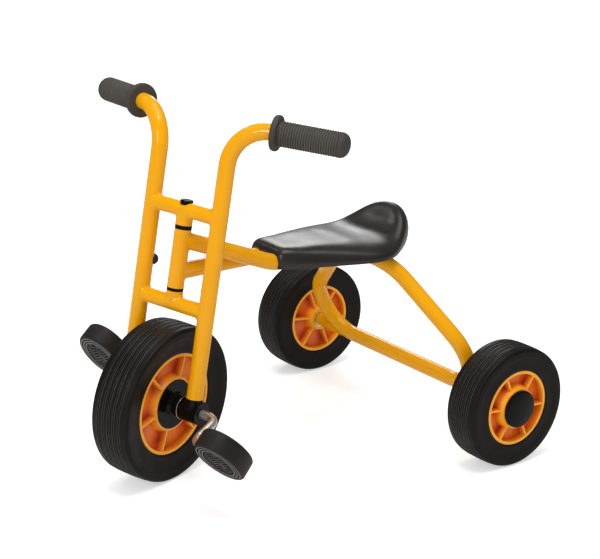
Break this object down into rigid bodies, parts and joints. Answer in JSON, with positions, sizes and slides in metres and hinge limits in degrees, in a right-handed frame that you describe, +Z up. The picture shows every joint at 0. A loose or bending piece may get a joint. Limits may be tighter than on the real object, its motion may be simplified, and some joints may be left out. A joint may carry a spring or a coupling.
{
  "type": "child's pedal tricycle",
  "caption": "Small steel-tube tricycle for a young child, with pedals on the steered front wheel, a moulded saddle and solid rubber tyres.",
  "frame": {"origin": "on the floor, midway between the front of the front tyre and the back of the rear tyres, on the tricycle's centre plane", "axes": "+Z up, -Y forward, +X towards the rider's left"},
  "size_m": [0.507, 0.6052, 0.5045],
  "materials": {
    "paint": "gloss powder coat, golden yellow",
    "black_moulding": "satin black moulding",
    "zinc": "zinc plated",
    "polished_steel": "polished",
    "saddle_plastic": "glossy black moulding",
    "soft_rubber": "matt black rubber",
    "tyre_rubber": "solid black rubber",
    "wheel_plastic": "orange moulding"
  },
  "bodies": {
    "frame_assembly": {"head_tube": "paint", "head_bushing_upper": "black_moulding", "head_bushing_lower": "black_moulding", "frame_loop": "paint", "axle_boss_left": "paint", "axle_boss_right": "paint", "axle_pin_left": "zinc", "axle_pin_right": "zinc", "axle_washer_left": "zinc", "axle_washer_right": "zinc", "saddle": "saddle_plastic"},
    "fork_assembly": {"fork_tube_left": "paint", "fork_tube_right": "paint", "crossbar_upper": "paint", "crossbar_lower": "paint", "steering_collar_upper": "paint", "steering_collar_lower": "paint", "steering_bolt": "zinc", "steering_bolt_cap": "black_moulding", "stop_buffer_left": "soft_rubber", "stop_buffer_right": "soft_rubber", "grip_left": "soft_rubber", "grip_right": "soft_rubber", "fork_bearing_left": "black_moulding", "fork_bearing_right": "black_moulding"},
    "front_wheel_assembly": {"front_tyre": "tyre_rubber", "front_wheel": "wheel_plastic", "hub_disc_left": "black_moulding", "hub_disc_right": "black_moulding", "spacer_left": "black_moulding", "spacer_right": "black_moulding", "crank": "polished_steel"},
    "left_pedal": {"pedal_left": "soft_rubber"},
    "right_pedal": {"pedal_right": "soft_rubber"},
    "left_rear_wheel": {"rear_tyre_left": "tyre_rubber", "rear_wheel_left": "wheel_plastic", "hub_cap_left": "black_moulding"},
    "right_rear_wheel": {"rear_tyre_right": "tyre_rubber", "rear_wheel_right": "wheel_plastic", "hub_cap_right": "black_moulding"}
  },
  "joints": [
    {"name": "steering", "type": "hinge", "parent": "frame_assembly", "child": "fork_assembly", "pos_m": [0, -0.16845, 0.29661], "axis": [0, 0.1499, 0.9887], "range_deg": [-67.55, 32.45]},
    {"name": "front_wheel_spin", "type": "hinge", "parent": "fork_assembly", "child": "front_wheel_assembly", "pos_m": [-0.0009, -0.1944, 0.1064], "axis": [0.9535, 0.2981, -0.0452], "continuous": true},
    {"name": "left_pedal_spin", "type": "hinge", "parent": "front_wheel_assembly", "child": "left_pedal", "pos_m": [0.15193, -0.20093, 0.08591], "axis": [0.9535, 0.2981, -0.0452], "continuous": true},
    {"name": "right_pedal_spin", "type": "hinge", "parent": "front_wheel_assembly", "child": "right_pedal", "pos_m": [-0.15374, -0.18786, 0.12689], "axis": [0.9535, 0.2981, -0.0452], "continuous": true},
    {"name": "left_rear_wheel_spin", "type": "hinge", "parent": "frame_assembly", "child": "left_rear_wheel", "pos_m": [0.218, 0.21818, 0.0844], "axis": [1, 0, 0], "continuous": true},
    {"name": "right_rear_wheel_spin", "type": "hinge", "parent": "frame_assembly", "child": "right_rear_wheel", "pos_m": [-0.218, 0.21818, 0.0844], "axis": [1, 0, 0], "continuous": true}
  ]
}
